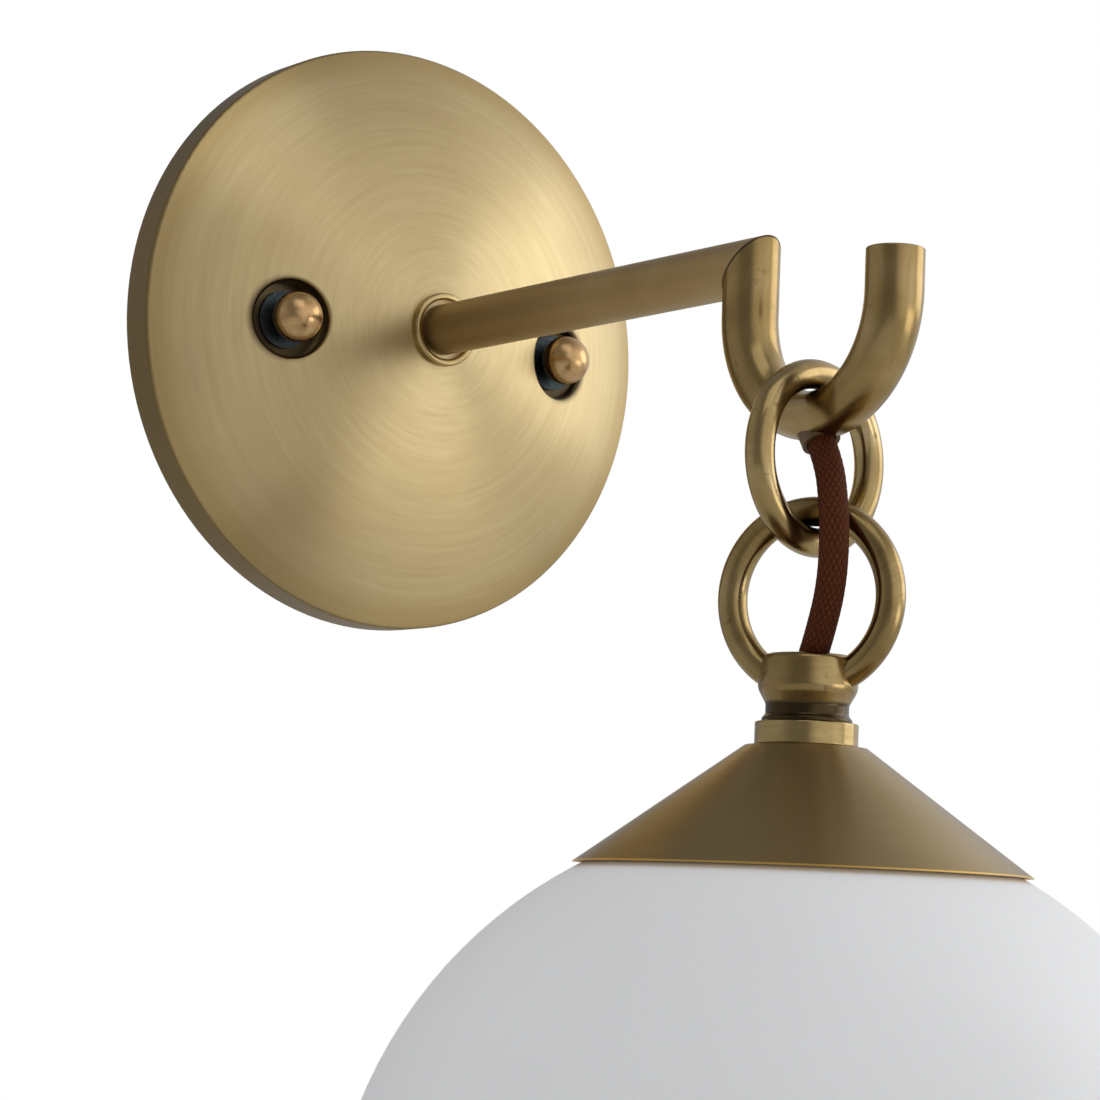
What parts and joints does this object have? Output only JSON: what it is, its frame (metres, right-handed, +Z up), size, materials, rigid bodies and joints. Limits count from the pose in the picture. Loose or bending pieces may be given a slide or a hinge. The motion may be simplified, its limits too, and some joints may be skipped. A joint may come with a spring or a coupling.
{
  "type": "hanging pendant wall sconce",
  "caption": "Round dome wall plate with a tube arm and open hook; a linked ring and cast loop hang a cone cap and an opal ball globe from it.",
  "frame": {"origin": "centre of the wall plate's back, on the wall", "axes": "+Z up, -Y out from the wall to the front of the lamp, +X to the right when seen from the front"},
  "size_m": [0.2, 0.278, 0.4012],
  "materials": {
    "patina_brass": "brushed antique patina",
    "ball_brass": "polished",
    "raw_brass": "turned, uncoated",
    "zinc_steel": "zinc plated",
    "spring_steel": "rolled strip",
    "nickel_brass": "nickel plated",
    "black_moulding": "moulded thermoset",
    "cream_moulding": "moulded nylon",
    "bush_plastic": "moulded nylon",
    "lead_cover": "heat-resistant sleeve over two wires",
    "braided_cotton": "rust brown braid",
    "opal_glass": "matt opal white",
    "seal_rubber": "moulded"
  },
  "bodies": {
    "wall_bracket": {"wall_plate": "patina_brass", "crossbar": "zinc_steel", "fixing_studs": "zinc_steel", "stud_nuts": "zinc_steel", "recess_washers": "zinc_steel", "earth_screw": "raw_brass", "terminal_block": "cream_moulding", "terminal_screws": "zinc_steel", "arm_collar": "patina_brass", "arm_tube": "patina_brass", "arm_ferrule": "raw_brass", "arm_nipple": "zinc_steel", "arm_lock_washer": "zinc_steel", "arm_nut": "zinc_steel", "hook_tube": "patina_brass", "hook_end_cap": "patina_brass", "cord_outlet": "bush_plastic", "arm_leads": "lead_cover"},
    "ball_nut_left": {"ball_nut_left": "ball_brass"},
    "ball_nut_right": {"ball_nut_right": "ball_brass"},
    "upper_link": {"upper_link": "patina_brass", "supply_cord": "braided_cotton"},
    "pendant": {"loop_casting": "patina_brass", "check_collar": "patina_brass", "cone_cap": "patina_brass", "globe_spring": "spring_steel", "pendant_nipple": "zinc_steel", "cap_lock_washer": "zinc_steel", "cap_nut": "zinc_steel", "holder_cap": "black_moulding", "holder_body": "black_moulding", "screw_shell": "nickel_brass", "centre_contact": "raw_brass", "pendant_leads": "lead_cover"},
    "globe": {"glass_globe": "opal_glass", "globe_seal": "seal_rubber"}
  },
  "joints": [
    {"name": "ball_nut_left_turn", "type": "hinge", "parent": "wall_bracket", "child": "ball_nut_left", "pos_m": [-0.042, -0.026, -0.002], "axis": [0, 1, 0], "continuous": true},
    {"name": "ball_nut_right_turn", "type": "hinge", "parent": "wall_bracket", "child": "ball_nut_right", "pos_m": [0.042, -0.026, -0.002], "axis": [0, 1, 0], "continuous": true},
    {"name": "link_swing", "type": "hinge", "parent": "wall_bracket", "child": "upper_link", "pos_m": [0, -0.178, -0.03675], "axis": [0, 1, 0], "range_deg": [-15, 15], "deforming": ["supply_cord"]},
    {"name": "pendant_swing", "type": "hinge", "parent": "upper_link", "child": "pendant", "pos_m": [0, -0.178, -0.0651], "axis": [0.9871, 0.1599, 0], "range_deg": [-15, 15], "deforming": ["supply_cord"]},
    {"name": "globe_turn", "type": "hinge", "parent": "pendant", "child": "globe", "pos_m": [0, -0.178, -0.225], "axis": [0, 0, 1], "continuous": true}
  ]
}
